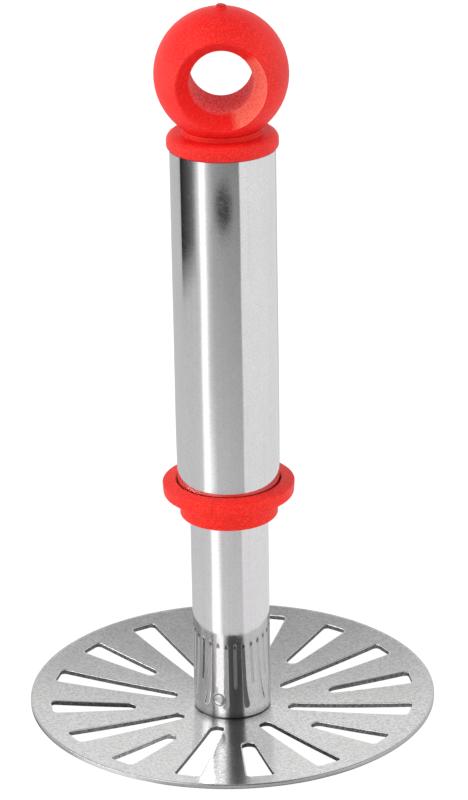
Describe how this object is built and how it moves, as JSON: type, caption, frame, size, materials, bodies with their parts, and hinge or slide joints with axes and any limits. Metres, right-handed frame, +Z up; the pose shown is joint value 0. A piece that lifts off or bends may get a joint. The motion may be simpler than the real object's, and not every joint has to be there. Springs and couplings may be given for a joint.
{
  "type": "potato masher",
  "caption": "Sprung hand masher: a slotted, dished steel disc on a shaft that slides and turns in a tubular handle with a ball-shaped end cap and hanging hole.",
  "frame": {"origin": "centre of the hub's flat underside, where the tool stands on its disc", "axes": "+Z up along the shaft and handle; the ball's hanging hole runs along Y, its front mouth facing -Y"},
  "size_m": [0.1, 0.1, 0.1801],
  "materials": {
    "disc_steel": "satin, tumbled, with fine scratches",
    "polished_shaft": "polished stainless tube with fine draw lines",
    "polished_handle": "mirror-polished stainless tube with hairline scratches",
    "fastener_steel": "plain machined",
    "spring_steel": "drawn wire",
    "bearing_plastic": "natural bearing plastic",
    "seal_rubber": "matte",
    "red_ring": "semi-gloss moulded",
    "red_cap": "semi-gloss moulded"
  },
  "bodies": {
    "head": {"masher_disc": "disc_steel", "hub_screw": "fastener_steel", "hub_plug": "fastener_steel", "hub_rivets": "fastener_steel", "shaft_tube": "polished_shaft", "shaft_top_plug": "bearing_plastic", "top_plug_pin": "fastener_steel", "bumper_ring": "seal_rubber", "piston_bush": "bearing_plastic", "stop_washer": "fastener_steel", "lock_washer": "fastener_steel", "stop_screw": "fastener_steel", "lower_spring_seat": "bearing_plastic", "return_spring": "spring_steel"},
    "spring_top": {"upper_spring_seat": "fastener_steel"},
    "handle": {"handle_tube": "polished_handle", "guard_ring": "red_ring", "guide_bush": "bearing_plastic", "wiper_ring": "seal_rubber", "end_cap": "red_cap"}
  },
  "joints": [
    {"name": "press_slide", "type": "slide", "parent": "head", "child": "spring_top", "axis": [0, 0, 1], "range_m": [-0.04, 0], "stiffness_N_per_m": 700, "springref_m": 0.007, "deforming": ["return_spring"]},
    {"name": "handle_swivel", "type": "hinge", "parent": "spring_top", "child": "handle", "pos_m": [0, 0, 0.14], "axis": [0, 0, 1], "continuous": true}
  ]
}
